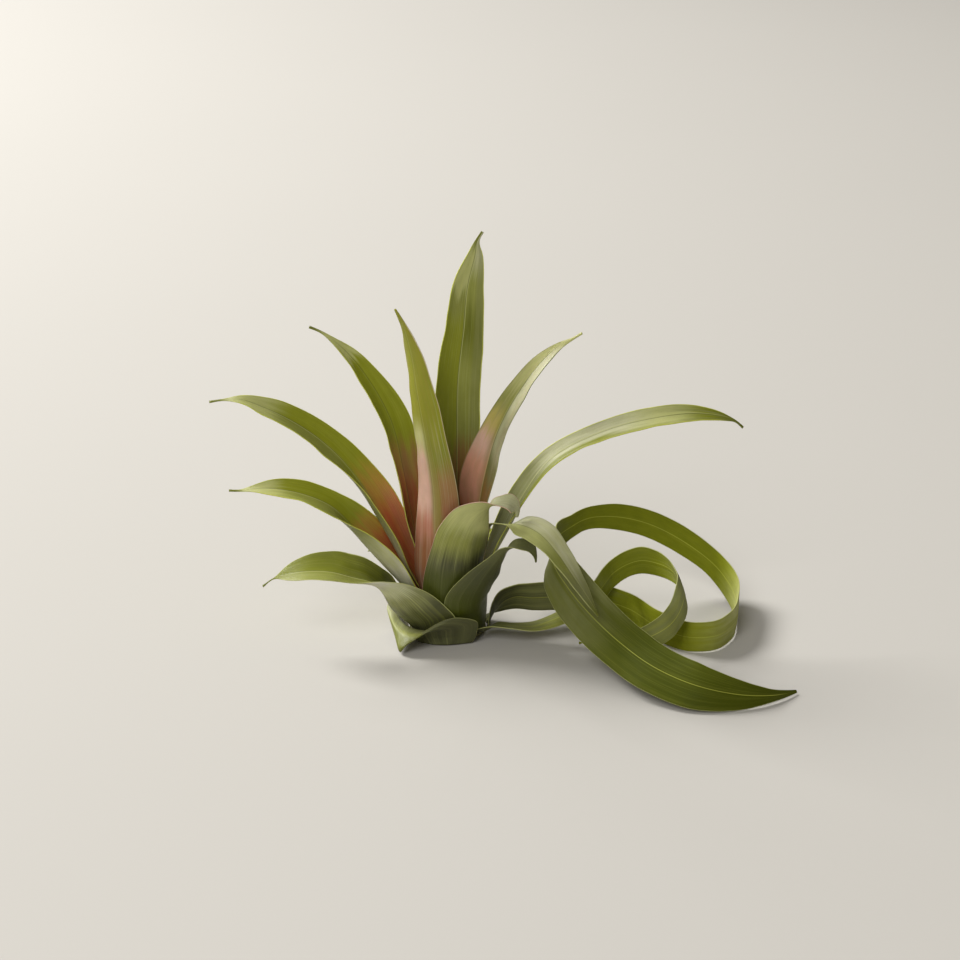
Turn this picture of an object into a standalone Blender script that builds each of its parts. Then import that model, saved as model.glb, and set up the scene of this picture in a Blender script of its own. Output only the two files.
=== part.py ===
"""A small unpotted bromeliad: a short stem with a rosette of separate leaves, bracts and trailing leaves.

Metres, +Z up. The plant rests on the flat underside of its stem, whose middle is the origin.
The front of the plant looks along -Y.
"""
import math

import bmesh
import bpy
import numpy as np

MM = 0.001

# Stem
FOOT_FLAT_RADIUS = 14.0
FOOT_RIM_RADIUS = 17.2
FOOT_HEIGHT = 2.8
CORE_RADIUS = 5.9
CORE_HEIGHT = 20.0
CORE_TOP_RADIUS = 3.6
STEM_SIDES = 36
SCAR_COUNT = 9
SCAR_DEPTH = 0.35

# Leaf blades
MIDRIB_THICKNESS = 1.1
MARGIN_THICKNESS = 0.6
TAIL_WIDTH = 1.3
NARROW_WIDTH = 6.0
SEAT = FOOT_HEIGHT + 0.8
ACROSS = np.linspace(-1, 1, 5)

# Colours, linear
VIVID_GREEN = (0.190, 0.230, 0.018, 1.0)
RIBBON_GREEN = (0.100, 0.140, 0.012, 1.0)
GREY_GREEN = (0.150, 0.200, 0.070, 1.0)
BARK_BROWN = (0.160, 0.095, 0.045, 1.0)


def direction(turn, lift):
    """Unit vector with that compass turn from +X and that lift above the floor, in degrees."""
    a, e = math.radians(turn), math.radians(lift)
    return (math.cos(e) * math.cos(a), math.cos(e) * math.sin(a), math.sin(e))


def sheath(radius, turn, height, wrap):
    """A clasping stretch of a leaf: part of a ring round the stem, wrap degrees to each side."""
    a = math.radians(turn)
    return {
        "at": (radius * math.cos(a), radius * math.sin(a), height),
        "width": 2 * radius * math.radians(wrap),
        "face": direction(turn + 180, 0),
        "curl": wrap,
        "crease": 0,
    }


def blade(x, y, z, width, turn, lift, curl=5, crease=0):
    """A free stretch of a leaf. Its upper face looks along turn and lift, its margins curl towards that."""
    return {"at": (x, y, z), "width": width, "face": direction(turn, lift), "curl": curl, "crease": crease}


def tail(x, y, z, turn, lift):
    """The drip tip that ends a leaf."""
    return blade(x, y, z, TAIL_WIDTH, turn, lift)


def spread(near, middle, far):
    """A stretch of a wide leaf, given by a point on each margin and one midway between them."""
    return {"at": middle, "span": (near, middle, far)}


# Each leaf runs from its seat on the stem to its tip. Sizes are in millimetres, angles in degrees.
LEAF_FAR_LEFT = [
    sheath(8.9, 168, SEAT, 42),
    sheath(10.6, 167, 16, 39),
    spread((-16.5, -6, 31), (-18, 0, 31), (-13, 10, 35.5)),
    spread((-22, -9.5, 47), (-25.5, -1.5, 46.5), (-18, 9, 51)),
    spread((-28, -9.5, 57.5), (-30.5, -2.5, 57), (-23, 7, 63)),
    spread((-36, -9, 69.5), (-37, -3.5, 69.5), (-30.5, 4, 75)),
    blade(-50.5, -3.5, 87, 17.5, -52, 50, 30, 7),
    blade(-65, -4.5, 99, 15, -60, 55, 24, 8),
    blade(-79.5, -5.5, 107, 11, -70, 60, 18, 8),
    blade(-90.5, -6, 111, 4.4, -80, 60, 12, 5),
    tail(-96.5, -6, 111, -80, 60),
    tail(-103, -6, 110, -80, 60),
]
LEAF_LEFT = [
    sheath(12.7, 190, SEAT, 44),
    sheath(14.4, 190, 14, 42),
    spread((-14, -14.5, 27), (-20.5, -4.5, 24.5), (-17.5, 8.5, 28)),
    spread((-21, -15, 40), (-29, -7, 35.5), (-23.5, 3, 43)),
    spread((-31, -15, 49.5), (-37, -8.5, 46), (-30, 0, 53)),
    spread((-43, -15.5, 57), (-44.5, -8.5, 56), (-40, -4, 63)),
    blade(-50, -10.5, 62.5, 15.5, -60, 58, 30, 7),
    blade(-64.5, -12.5, 70, 13.5, -75, 62, 24, 8),
    blade(-77, -13.5, 72.5, 9, -80, 60, 18, 8),
    blade(-86, -14, 72.5, 3, -85, 60, 12, 4),
    tail(-90, -14, 72, -85, 60),
    tail(-95, -14, 72, -85, 60),
]
LEAF_LOW_LEFT = [
    spread((0.5, -16.5, SEAT), (-14, -8.7, SEAT), (-14.3, 8.3, SEAT)),
    spread((2, -18.6, 8.5), (-16.2, -11, 7.5), (-16.5, 9, 8)),
    spread((3.5, -20.8, 15), (-20, -13.5, 12), (-19, 7, 13)),
    spread((0, -21.4, 19.5), (-22.5, -14.8, 15.2), (-21, 4.5, 18)),
    spread((-4.7, -21, 24), (-24.6, -16, 18.8), (-23, 2, 22)),
    spread((-10, -20.3, 27.3), (-26.6, -16.5, 22.7), (-25, -1.5, 27)),
    spread((-19, -19.5, 30.4), (-30, -17, 27.4), (-29, -6.5, 32.5)),
    spread((-27.5, -20, 31.5), (-34, -18.3, 30.5), (-35, -8.8, 37.6)),
    spread((-38, -22, 31.8), (-42, -18.5, 33), (-43, -10, 41)),
    blade(-51, -19, 35.5, 21.5, -74, 70, 28, 8),
    blade(-62, -19.5, 36, 16.5, -85, 68, 20, 8),
    blade(-70.5, -19, 34.5, 8.5, -90, 66, 12, 6),
    tail(-75.5, -19, 33, -90, 66),
    tail(-81, -19, 29, -90, 66),
]
LEAF_UPPER_LEFT = [
    sheath(7, 168, SEAT, 33),
    sheath(9.4, 168, 20, 29),
    blade(-16, 8, 49.5, 20, -30, 8, 38, 4),
    blade(-20, 9, 73, 20, -35, 15, 38, 6),
    blade(-25.5, 11, 96.5, 18.5, -45, 25, 34, 8),
    blade(-34.5, 13, 113.5, 12.5, -55, 32, 28, 9),
    blade(-43.5, 15, 125, 7.6, -60, 36, 22, 9),
    blade(-50.5, 16, 131.5, 2.8, -65, 38, 14, 5),
    tail(-55, 17, 134.5, -65, 40),
    tail(-60.5, 17, 137, -65, 40),
]
LEAF_CENTRE_LEFT = [
    sheath(10.8, 250, SEAT, 42),
    sheath(12.8, 250, 18, 44),
    sheath(15.4, 250, 30, 46),
    blade(-5.5, -15, 49.5, 24, 70, -2, 40, 4),
    blade(-6, -15, 72.5, 21.5, 60, -4, 36, 5),
    blade(-9, -14, 95, 19, 50, -8, 30, 6),
    blade(-12.5, -12, 116, 18, 40, -10, 24, 6),
    blade(-15.5, -10, 135, 11, 35, -12, 16, 4),
    blade(-18.5, -9, 145.5, 4.2, 35, -12, 10),
    tail(-22, -8, 152.5, 35, -12),
]
LEAF_TALL = [
    sheath(7, 90, SEAT, 40),
    sheath(8.4, 86, 22, 38),
    blade(3.5, 12, 58, 19.5, -88, 0, 44, 5),
    blade(4, 13, 86, 22, -86, 2, 40, 7),
    blade(4.5, 14, 113.5, 22, -84, 3, 34, 9),
    blade(7, 15, 136.5, 19, -82, 4, 28, 10),
    blade(9, 15, 157, 14.5, -80, 4, 22, 10),
    blade(12, 15, 169.5, 8, -80, 4, 14, 6),
    blade(13.5, 15, 177, 1.8, -80, 4, 8),
    tail(15.5, 15, 180.5, -80, 4),
]
LEAF_UPPER_RIGHT = [
    sheath(7, 5, SEAT, 38),
    sheath(8.8, 4, 20, 34),
    blade(12, 0, 38, 15, -165, 4, 40),
    blade(16.5, 1, 71, 24, -138, 12, 42, 7),
    blade(23.5, 3.5, 95.5, 15.5, -130, 22, 36, 9),
    blade(32.5, 7, 111.5, 11.5, -125, 30, 28, 10),
    blade(42.5, 9, 124.5, 7.6, -120, 38, 20, 9),
    blade(50, 10, 131, 3.2, -115, 42, 12, 4),
    tail(55, 11, 133.5, -115, 44),
    tail(59, 11, 136, -115, 44),
]
LEAF_FAR_RIGHT = [
    sheath(8.9, 350, SEAT, 45),
    sheath(10.8, 352, 18, 42),
    sheath(18, 2, 33, 26),
    blade(25.5, -0.5, 47, 20, -172, 15, 36, 5),
    blade(33.5, -1, 64, 18, -160, 32, 30, 6),
    blade(46, -0.5, 81.5, 12.5, -140, 45, 24, 7),
    blade(67.5, 0.5, 93.5, 10.5, -110, 50, 20, 7),
    blade(89, 1.5, 99.5, 11, -95, 52, 16, 7),
    blade(111, 4, 101, 8, -85, 54, 14, 6),
    blade(122, 5, 99, 3.8, -80, 54, 10, 4),
    tail(126.5, 5, 97.5, -80, 54),
    tail(130, 5, 94.5, -80, 54),
]
BRACT_FRONT = [
    sheath(14.6, 285, SEAT, 48),
    sheath(16.2, 285, 13, 50),
    sheath(18.2, 283, 25, 50),
    blade(5, -20, 41, 28, 100, -6, 50, 2),
    blade(7.5, -21, 52.5, 24.5, 98, 0, 42, 3),
    blade(11.5, -22, 61, 19, 96, 12, 32, 3),
    blade(17.5, -22, 67, 11, 100, 50, 20, 2),
    blade(23, -21, 69, 7.6, -80, 70, 12, 2),
    blade(28, -20, 68, 10, -75, 55, 8),
    blade(30.5, -19, 65, 3.5, -60, 30),
    tail(30.5, -19, 61.5, -50, 20),
]
BRACT_FRONT_RIGHT = [
    sheath(16.5, 312, SEAT + 0.8, 41),
    sheath(17.2, 314, 10, 41),
    blade(13.5, -17, 22, 31, 130, 0, 50, 2),
    blade(17, -20.5, 32, 21, 125, 8, 40, 3),
    blade(21.5, -21, 40.5, 11, 118, 25, 30, 3),
    blade(27, -20, 47, 9, 110, 65, 20, 2),
    blade(32, -19, 48.5, 7.5, -80, 68, 14, 2),
    blade(36.5, -18, 47, 6, -70, 50, 8),
    blade(38.5, -17, 43, 3, -40, 30),
    tail(39, -16.5, 39.5, -30, 20),
]
BRACT_FOOT = [
    spread((10.7, -15.2, 0.6), (-10.5, -15.5, 0.6), (-18, 5, 0.6)),
    spread((13, -16.6, 6), (-13.5, -15, 5), (-21.5, 8, 5.5)),
    spread((12.5, -19, 12.5), (-14.5, -17.5, 7.5), (-24, 11, 9)),
    spread((3.8, -22.4, 15.4), (-16, -20, 7.5), (-26.5, 9, 10)),
    spread((-3.2, -23.8, 13.8), (-17.5, -22.5, 7), (-27.5, 4, 9)),
    spread((-9.8, -25.2, 10.2), (-18.5, -24.5, 6), (-26.5, -2, 7.5)),
    spread((-15.5, -26.6, 7), (-19.5, -26, 4.8), (-24.8, -10, 5.7)),
    spread((-18.6, -27.6, 4.2), (-20.6, -27.4, 3.2), (-23, -18, 3.8)),
    spread((-20.2, -26.6, 1.2), (-20.8, -27, 1.2), (-21.4, -26.4, 1.4)),
]
LEAF_TRAILING_SHORT = [
    sheath(10.8, 321, SEAT, 22),
    sheath(14.4, 316, 18, 19),
    sheath(16.2, 313, 32, 15),
    blade(15.8, -12, 44, 5, 140, 10, 16),
    blade(19, -13.6, 56, 4, 130, 45, 12),
    blade(25.5, -18, 57.5, 4.5, 100, 60, 10),
    blade(32.5, -22, 58.5, 13.5, -70, 65, 10, 2),
    blade(40, -28.5, 57, 16.5, -60, 55, 12, 4),
    blade(47.5, -35, 50.5, 14.5, -40, 42, 12, 5),
    blade(54, -41, 42.5, 12.5, -30, 36, 12, 5),
    blade(59.5, -46, 35.5, 8, -30, 34, 8, 3),
    blade(63, -49.5, 31, 3.6, -30, 34),
    tail(65, -51.5, 28.5, -30, 34),
]
LEAF_LONG_RIBBON = [
    spread((14.5, 12, 1), (17.5, 6, 1), (18, -1.5, 1)),
    spread((18, 13, 2.5), (21, 7, 6.5), (19.5, -1, 12.5)),
    spread((22, 12.5, 3.5), (24.5, 8, 10.5), (23, 1.5, 18)),
    spread((29, 11.5, 5.5), (29.5, 9, 12.5), (29, 5, 19.5)),
    blade(38, 7, 13, 15, 100, 12, 8),
    blade(52, 8.5, 13, 14.5, 95, 5, 6),
    blade(66, 10, 11.5, 14.5, 85, 4),
    blade(80, 4, 9.5, 14.5, 70, 2),
    blade(94, -16, 8.4, 14.5, 68, 0),
    blade(107, -25.5, 7.6, 14, 80, 0),
    blade(117, -24.5, 7.6, 14, 115, 0),
    blade(126, -13.5, 7.7, 14, 150, 0),
    blade(130.5, 5.5, 8, 14, 180, 4),
    blade(130, 25.5, 10, 14, -150, 10),
    blade(122.5, 40, 16, 12, -125, 14),
    blade(109, 45, 25, 12.5, -112, 15),
    blade(93, 44, 34, 12.5, -100, 16),
    blade(77.5, 38, 40, 12, -90, 18),
    blade(64.5, 29, 43, 10.2, -72, 18),
    blade(56, 17, 43.8, 9.8, -40, 12),
    blade(47.5, 3, 42, 16.5, 5, 0),
    blade(47.5, -12, 36, 19, 45, -20, 6, 2),
    blade(53, -24.5, 30.5, 21, 65, -30, 7, 3),
    blade(63, -40.5, 23.5, 22, 78, -36, 8, 3),
    blade(75, -55, 17, 22, 85, -38, 8, 3),
    blade(90.5, -73, 12.6, 22, 95, -38, 8, 3),
    blade(106.5, -83.5, 9.9, 20, 105, -35, 8, 3),
    blade(123.5, -83.5, 6.2, 13, 118, -30, 6, 2),
    blade(137, -78.5, 3.6, 6, 125, -28, 5, 2),
    tail(149, -69, 1.2, 128, -28),
]
LEAF_SMALL_LOOP = [
    sheath(18.2, 329, SEAT, 19),
    blade(20.5, -11, 6.5, 11, 150, 40, 16),
    blade(28, -13, 7.2, 11, 140, 70, 10),
    blade(38, -14, 7.5, 11, 0, 88, 6),
    spread((49.5, -10, 13.5), (49.7, -13, 11.5), (50, -16, 9)),
    spread((57, -13.5, 20), (57, -13.8, 16), (57, -14.2, 12)),
    spread((61.8, -11.5, 24.2), (61.8, -11.8, 19.2), (62.3, -12, 14.2)),
    spread((65.4, -7.5, 27.2), (66.2, -7.8, 21.2), (67, -8.2, 15.2)),
    spread((68.7, -2, 30), (69.5, -2, 23.2), (70.3, -2.2, 16.5)),
    spread((73, 4, 32.3), (73.5, 4, 25.8), (74.5, 3.8, 19.3)),
    spread((79, 7, 35.2), (79.7, 7, 28.8), (80.7, 6.8, 22.8)),
    spread((86, 7, 37.4), (86.1, 6.8, 31), (86.3, 6.2, 24.8)),
    spread((93, 4, 36.8), (93.8, 3, 31.2), (94.4, 1, 25.6)),
    spread((98, -1, 35), (99.6, -3.2, 30.6), (101.3, -7, 25.4)),
    spread((100.5, -6, 33), (102.5, -10, 28.8), (104, -15, 24.4)),
    spread((101.4, -12, 30.6), (103.9, -17, 25.8), (105.3, -22, 21.4)),
    spread((100, -20, 27.6), (103, -25.2, 23.2), (104.2, -30, 18.8)),
    spread((97.5, -27, 24.4), (100.2, -32, 20), (101.2, -36, 15.8)),
    spread((93.6, -33, 21.8), (96.1, -37, 17.4), (97.3, -40, 13)),
    spread((89, -36, 19.2), (90.8, -39.2, 14.8), (91.6, -42, 10.2)),
    spread((83.3, -37, 16.3), (84.4, -39.2, 12.2), (85.2, -41, 8.2)),
    spread((76.7, -36, 13.6), (77.1, -37.6, 10.4), (77.5, -39, 7.2)),
    spread((70.1, -33, 10.6), (70.3, -34, 8.4), (70.3, -35, 6.2)),
    spread((64.4, -30, 8.2), (64.4, -30.5, 6.8), (64.4, -31, 5.4)),
    tail(58, -27, 5.4, -90, 20),
]
LEAF_BACK_RIGHT = [
    sheath(10.8, 44, SEAT, 38),
    sheath(12.8, 43, 14, 34),
    blade(13.5, 16.5, 25, 15, -130, 20, 30, 4),
    blade(17, 25, 33, 16, -125, 45, 30, 6),
    blade(20.5, 32, 35, 11, -120, 70, 22, 6),
    blade(23, 37, 33, 5, -120, 80, 12, 3),
    tail(24.5, 41, 30.5, -120, 85),
]
LEAF_BACK_TALL = [
    sheath(8.9, 82, SEAT, 40),
    sheath(11, 83, 20, 36),
    blade(1.5, 15.5, 38, 18, -88, 12, 34, 5),
    blade(2, 24, 58, 19, -88, 35, 36, 7),
    blade(3.5, 40, 72, 17, -90, 58, 28, 8),
    blade(5.5, 60, 76, 12, -90, 82, 20, 8),
    blade(7.5, 77, 70, 5, 92, 72, 12, 4),
    blade(8.5, 83, 66.5, 1.5, 92, 65),
    tail(9, 88, 63.5, 92, 60),
]
LEAF_BACK_LEFT = [
    sheath(10.8, 122, SEAT, 32),
    sheath(12.8, 121, 12, 24),
    blade(-13, 17.5, 20, 11.5, -50, 25, 24, 5),
    blade(-17, 26, 27, 16, -50, 55, 28, 7),
    blade(-24, 36, 27, 12, -50, 82, 20, 7),
    blade(-31, 45, 22.5, 6, 130, 72, 12, 4),
    blade(-34.5, 49, 19.5, 1.6, 130, 66),
    tail(-37.5, 52.5, 17.5, 130, 66),
]
BRACT_BACK = [
    sheath(14.6, 82, SEAT, 30),
    sheath(16.2, 83, 12, 26),
    blade(1, 20.5, 22, 12.5, -88, 14, 26, 3),
    blade(0.5, 26, 30, 12, -86, 40, 24, 4),
    blade(0, 32.5, 34, 8.5, -88, 66, 16, 3),
    blade(0, 37, 34, 3, -88, 85, 8),
    tail(0, 40, 32.5, 92, 80),
]

# Name, stations, rings along the leaf, points across it, colour
LEAVES = [
    ("leaf_far_left", LEAF_FAR_LEFT, 28, 9, VIVID_GREEN),
    ("leaf_left", LEAF_LEFT, 28, 9, VIVID_GREEN),
    ("leaf_low_left", LEAF_LOW_LEFT, 28, 11, VIVID_GREEN),
    ("leaf_upper_left", LEAF_UPPER_LEFT, 28, 7, VIVID_GREEN),
    ("leaf_centre_left", LEAF_CENTRE_LEFT, 26, 7, VIVID_GREEN),
    ("leaf_tall", LEAF_TALL, 26, 7, VIVID_GREEN),
    ("leaf_upper_right", LEAF_UPPER_RIGHT, 28, 7, GREY_GREEN),
    ("leaf_far_right", LEAF_FAR_RIGHT, 30, 7, GREY_GREEN),
    ("bract_front", BRACT_FRONT, 24, 11, GREY_GREEN),
    ("bract_front_right", BRACT_FRONT_RIGHT, 22, 11, GREY_GREEN),
    ("bract_foot", BRACT_FOOT, 16, 11, GREY_GREEN),
    ("leaf_trailing_short", LEAF_TRAILING_SHORT, 30, 5, GREY_GREEN),
    ("leaf_long_ribbon", LEAF_LONG_RIBBON, 76, 5, RIBBON_GREEN),
    ("leaf_small_loop", LEAF_SMALL_LOOP, 50, 5, RIBBON_GREEN),
    ("leaf_back_right", LEAF_BACK_RIGHT, 20, 7, VIVID_GREEN),
    ("leaf_back_tall", LEAF_BACK_TALL, 24, 7, VIVID_GREEN),
    ("leaf_back_left", LEAF_BACK_LEFT, 22, 7, VIVID_GREEN),
    ("bract_back", BRACT_BACK, 18, 7, GREY_GREEN),
]


def unit(vectors):
    return vectors / np.linalg.norm(vectors, axis=-1, keepdims=True)


def smooth(values, knots, at):
    """Cubic curve through the values at the knots, read at the given places."""
    values = np.asarray(values, float).reshape(len(knots), -1)
    gaps = np.diff(knots)[:, None]
    slopes = np.diff(values, axis=0) / gaps
    tangents = np.empty_like(values)
    tangents[1:-1] = (slopes[:-1] * gaps[1:] + slopes[1:] * gaps[:-1]) / (gaps[:-1] + gaps[1:])
    tangents[0] = 1.5 * slopes[0] - 0.5 * tangents[1]
    tangents[-1] = 1.5 * slopes[-1] - 0.5 * tangents[-2]
    i = np.clip(np.searchsorted(knots, at, side="right") - 1, 0, len(knots) - 2)
    h = gaps[i]
    x = (at - knots[i])[:, None] / h
    return (
        values[i] * (2 * x**3 - 3 * x**2 + 1)
        + tangents[i] * h * (x**3 - 2 * x**2 + x)
        + values[i + 1] * (3 * x**2 - 2 * x**3)
        + tangents[i + 1] * h * (x**3 - x**2)
    )


def ring_places(points, knots, rings):
    """Where the rings lie along the leaf: closer together in its bends and near its tip."""
    turn_weight, turn_floor, tip_weight, tip_reach = 0.9, 1.2, 0.35, 9.0
    fine = np.linspace(0, knots[-1], 400)
    steps = np.diff(smooth(points, knots, fine), axis=0)
    lengths = np.linalg.norm(steps, axis=1)
    headings = unit(steps)
    turns = np.arccos(np.clip((headings[1:] * headings[:-1]).sum(1), -1, 1))
    turns = np.concatenate([[0], turns])
    tip = np.exp((fine[1:] - knots[-1]) / tip_reach)
    cost = lengths / lengths.sum() + turn_weight * turns / max(turns.sum(), turn_floor)
    cost = cost + tip_weight * tip / tip.sum()
    total = np.concatenate([[0], np.cumsum(cost)])
    return np.interp(np.linspace(0, total[-1], rings), total, fine)


def arc_across(station, heading):
    """Points across a station from margin to margin, on an arc that curls towards the upper face."""
    face = np.array(station["face"])
    normal = unit(face - face.dot(heading) * heading)
    side = np.cross(heading, normal)
    curl = math.radians(max(station["curl"], 0.1))
    crease = math.radians(station["crease"])
    bend = curl / (station["width"] / 2)
    angle = crease + np.abs(ACROSS) * curl
    out = (np.sin(angle) - math.sin(crease)) / bend * np.sign(ACROSS)
    rise = (math.cos(crease) - np.cos(angle)) / bend
    return np.array(station["at"]) + np.outer(out, side) + np.outer(rise, normal)


def curve_across(span):
    """Points across a station on the parabola through its two margins and its middle."""
    near, middle, far = (np.array(p, float) for p in span)
    u = ACROSS[:, None]
    return middle + u * (far - near) / 2 + u**2 * ((near + far) / 2 - middle)


def wide_leaf_surface(stations, rings, across):
    """Middle surface of a leaf that is given by its margins, with its normals and widths."""
    points = np.array([s["at"] for s in stations], float)
    knots = np.concatenate([[0], np.cumsum(np.linalg.norm(np.diff(points, axis=0), axis=1))])
    at = ring_places(points, knots, rings)
    nudge = knots[-1] * 1e-3
    ahead = smooth(points, knots, np.clip(knots + nudge, 0, knots[-1]))
    behind = smooth(points, knots, np.clip(knots - nudge, 0, knots[-1]))
    headings = unit(ahead - behind)
    rows = [curve_across(s["span"]) if "span" in s else arc_across(s, h) for s, h in zip(stations, headings)]
    grid = smooth(np.array(rows), knots, at).reshape(rings, len(ACROSS), 3)
    u = np.linspace(-1, 1, across)
    middle = smooth(grid.transpose(1, 0, 2), ACROSS, u).reshape(across, rings, 3).transpose(1, 0, 2)
    normal = unit(np.cross(np.gradient(middle, axis=1), np.gradient(middle, axis=0)))
    width = np.linalg.norm(np.diff(middle, axis=1), axis=2).sum(1)
    return middle, normal, width[:, None]


def arc_leaf_surface(stations, rings, across):
    """Middle surface of a leaf that is given by its midrib and widths, with its normals and widths."""
    points = np.array([s["at"] for s in stations], float)
    knots = np.concatenate([[0], np.cumsum(np.linalg.norm(np.diff(points, axis=0), axis=1))])
    at = ring_places(points, knots, rings)

    def along(key):
        return smooth([s[key] for s in stations], knots, at)

    spine = smooth(points, knots, at)
    width = np.maximum(along("width"), 0.9)
    faces = unit(along("face"))
    curl = np.radians(np.maximum(along("curl"), 0.1))
    crease = np.radians(along("crease"))
    nudge = knots[-1] * 1e-4
    after = smooth(points, knots, np.clip(at + nudge, 0, knots[-1]))
    before = smooth(points, knots, np.clip(at - nudge, 0, knots[-1]))
    heading = unit(after - before)
    normal = unit(faces - (faces * heading).sum(1, keepdims=True) * heading)
    side = np.cross(heading, normal)
    u = np.linspace(-1, 1, across)[None, :]
    bend = curl / (width / 2)
    angle = crease + np.abs(u) * curl
    out = (np.sin(angle) - np.sin(crease)) / bend * np.sign(u)
    rise = (np.cos(crease) - np.cos(angle)) / bend
    middle = spine[:, None, :] + side[:, None, :] * out[..., None] + normal[:, None, :] * rise[..., None]
    lean = -np.sin(angle) * np.sign(u)
    upright = np.where(u == 0, 1.0, np.cos(angle))
    skin = side[:, None, :] * lean[..., None] + normal[:, None, :] * upright[..., None]
    return middle, skin, width


def leaf_faces(stations, rings, across):
    """Upper and lower face of a leaf as two grids of points, in millimetres."""
    wide = any("span" in s for s in stations)
    surface = wide_leaf_surface if wide else arc_leaf_surface
    middle, skin, width = surface(stations, rings, across)
    u = np.linspace(-1, 1, across)[None, :]
    slim = np.clip(width / NARROW_WIDTH, 0.35, 1.0)
    thick = MARGIN_THICKNESS + (MIDRIB_THICKNESS - MARGIN_THICKNESS) * (1 - u**2)
    thick = np.maximum(thick * (0.6 + 0.4 * slim), MARGIN_THICKNESS)[..., None]
    return middle + skin * thick / 2, middle - skin * thick / 2


def material(name, colour, roughness):
    made = bpy.data.materials.new(name)
    made.use_nodes = True
    shader = made.node_tree.nodes["Principled BSDF"]
    shader.inputs["Base Color"].default_value = colour
    shader.inputs["Roughness"].default_value = roughness
    shader.inputs["Metallic"].default_value = 0.0
    made.diffuse_color = colour
    return made


def place(name, mesh_builder, colour, roughness):
    """Turn a bmesh into a named object with a material of its own."""
    mesh = bpy.data.meshes.new(name)
    mesh_builder.normal_update()
    mesh_builder.to_mesh(mesh)
    mesh_builder.free()
    mesh.materials.append(material(name + "_material", colour, roughness))
    placed = bpy.data.objects.new(name, mesh)
    bpy.context.scene.collection.objects.link(placed)
    return placed


def make_leaf(name, stations, rings, across, colour):
    upper, lower = leaf_faces(stations, rings, across)
    bm = bmesh.new()
    top = [[bm.verts.new(p * MM) for p in row] for row in upper]
    under = [[bm.verts.new(p * MM) for p in row] for row in lower]

    def quad(a, b, c, d):
        bm.faces.new((a, b, c))
        bm.faces.new((a, c, d))

    for i in range(rings - 1):
        for j in range(across - 1):
            quad(top[i][j], top[i][j + 1], top[i + 1][j + 1], top[i + 1][j])
            quad(under[i + 1][j + 1], under[i][j + 1], under[i][j], under[i + 1][j])
        quad(top[i][0], top[i + 1][0], under[i + 1][0], under[i][0])
        quad(top[i + 1][-1], top[i][-1], under[i][-1], under[i + 1][-1])
    for j in range(across - 1):
        quad(top[0][j + 1], top[0][j], under[0][j], under[0][j + 1])
        quad(top[-1][j], top[-1][j + 1], under[-1][j + 1], under[-1][j])
    bmesh.ops.recalc_face_normals(bm, faces=bm.faces)
    return place(name, bm, colour, 0.42)


def make_stem():
    """Short woody stem: a foot with leaf scars round its rim, and the core that the leaves clasp."""
    profile = [
        (FOOT_FLAT_RADIUS, 0.0),
        (FOOT_RIM_RADIUS, 1.4),
        (FOOT_RIM_RADIUS, 2.4),
        (FOOT_RIM_RADIUS - 0.6, FOOT_HEIGHT),
        (CORE_RADIUS + 0.2, FOOT_HEIGHT),
        (CORE_RADIUS - 0.2, 0.6 * CORE_HEIGHT),
        (CORE_TOP_RADIUS, 0.9 * CORE_HEIGHT),
    ]
    bm = bmesh.new()
    loops = []
    for level, (radius, height) in enumerate(profile):
        loop = []
        for k in range(STEM_SIDES):
            angle = 2 * math.pi * k / STEM_SIDES
            scar = SCAR_DEPTH * (0.5 + 0.5 * math.cos(SCAR_COUNT * angle)) if 1 <= level <= 2 else 0.0
            r = radius - scar
            loop.append(bm.verts.new((r * math.cos(angle) * MM, r * math.sin(angle) * MM, height * MM)))
        loops.append(loop)
    bm.faces.new(list(reversed(loops[0])))
    for below, above in zip(loops, loops[1:]):
        for k in range(STEM_SIDES):
            n = (k + 1) % STEM_SIDES
            bm.faces.new((below[k], below[n], above[n], above[k]))
    peak = bm.verts.new((0, 0, CORE_HEIGHT * MM))
    for k in range(STEM_SIDES):
        bm.faces.new((loops[-1][k], loops[-1][(k + 1) % STEM_SIDES], peak))
    bmesh.ops.recalc_face_normals(bm, faces=bm.faces)
    return place("stem_base", bm, BARK_BROWN, 0.8)


def clear_scene():
    for old in list(bpy.data.objects):
        bpy.data.objects.remove(old, do_unlink=True)


def main():
    clear_scene()
    make_stem()
    for name, stations, rings, across, colour in LEAVES:
        make_leaf(name, stations, rings, across, colour)


main()
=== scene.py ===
"""Looks for the small unpotted bromeliad: fine leaf surfaces with veins, midribs, margins and drip tips.

Sizes in the leaf tables are in millimetres and degrees, and are those of the part's own leaves.
"""
import math

import bpy
import numpy as np
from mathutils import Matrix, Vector

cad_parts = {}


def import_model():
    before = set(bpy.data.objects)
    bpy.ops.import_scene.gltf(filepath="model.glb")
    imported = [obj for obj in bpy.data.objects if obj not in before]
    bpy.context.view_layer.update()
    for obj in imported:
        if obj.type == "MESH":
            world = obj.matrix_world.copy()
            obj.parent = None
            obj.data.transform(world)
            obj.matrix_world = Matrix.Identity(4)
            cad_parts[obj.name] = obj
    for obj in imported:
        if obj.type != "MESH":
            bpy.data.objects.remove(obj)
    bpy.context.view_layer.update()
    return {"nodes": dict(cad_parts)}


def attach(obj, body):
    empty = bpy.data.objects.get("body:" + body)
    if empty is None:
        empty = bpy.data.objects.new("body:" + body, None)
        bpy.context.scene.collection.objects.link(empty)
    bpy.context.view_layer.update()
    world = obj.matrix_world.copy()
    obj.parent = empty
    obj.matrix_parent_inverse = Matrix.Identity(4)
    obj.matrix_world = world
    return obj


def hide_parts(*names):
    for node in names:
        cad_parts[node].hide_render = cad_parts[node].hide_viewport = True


MM = 0.001

# Seats of the leaves on the stem
FOOT_HEIGHT = 2.8
SEAT = FOOT_HEIGHT + 0.8

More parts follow.
